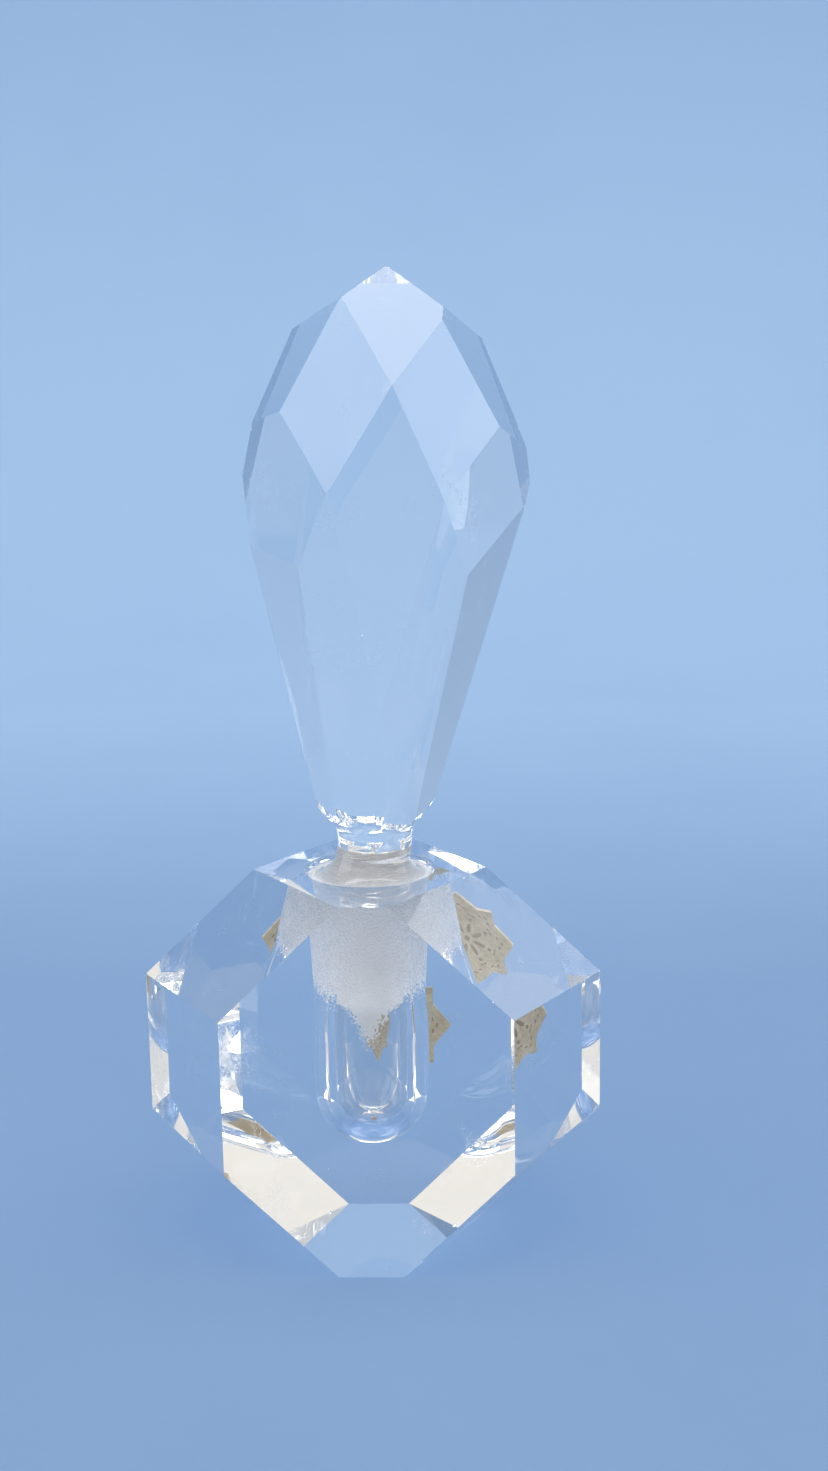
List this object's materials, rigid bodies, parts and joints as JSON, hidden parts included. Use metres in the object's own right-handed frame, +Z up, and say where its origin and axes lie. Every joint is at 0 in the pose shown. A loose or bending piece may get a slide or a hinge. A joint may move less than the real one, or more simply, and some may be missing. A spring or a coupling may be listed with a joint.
{
  "type": "perfume bottle",
  "caption": "Stoppered cut-crystal perfume bottle: bevelled octagonal block with a drilled, round-bottomed cavity, ground neck, faceted drop stopper that lifts out, and a foil star label.",
  "frame": {"origin": "middle of the flat foot that the bottle stands on", "axes": "+Z up the bore and the stopper, +X to the viewer's right along the body's width, +Y from the front face to the back face that carries the label"},
  "size_m": [0.072, 0.041, 0.1504],
  "materials": {
    "clear_crystal": "ground flat and polished lead crystal, colourless",
    "ground_crystal": "sand-ground, frosted joint surface",
    "gold_foil": "embossed pale gold foil on film"
  },
  "bodies": {
    "bottle": {"bottle_body": "clear_crystal", "label": "gold_foil"},
    "stopper": {"stopper_plug": "ground_crystal", "stopper_finial": "clear_crystal"}
  },
  "joints": [
    {"name": "stopper_lift", "type": "slide", "parent": "bottle", "child": "stopper", "axis": [0, 0, 1], "range_m": [0, 0.03]}
  ]
}
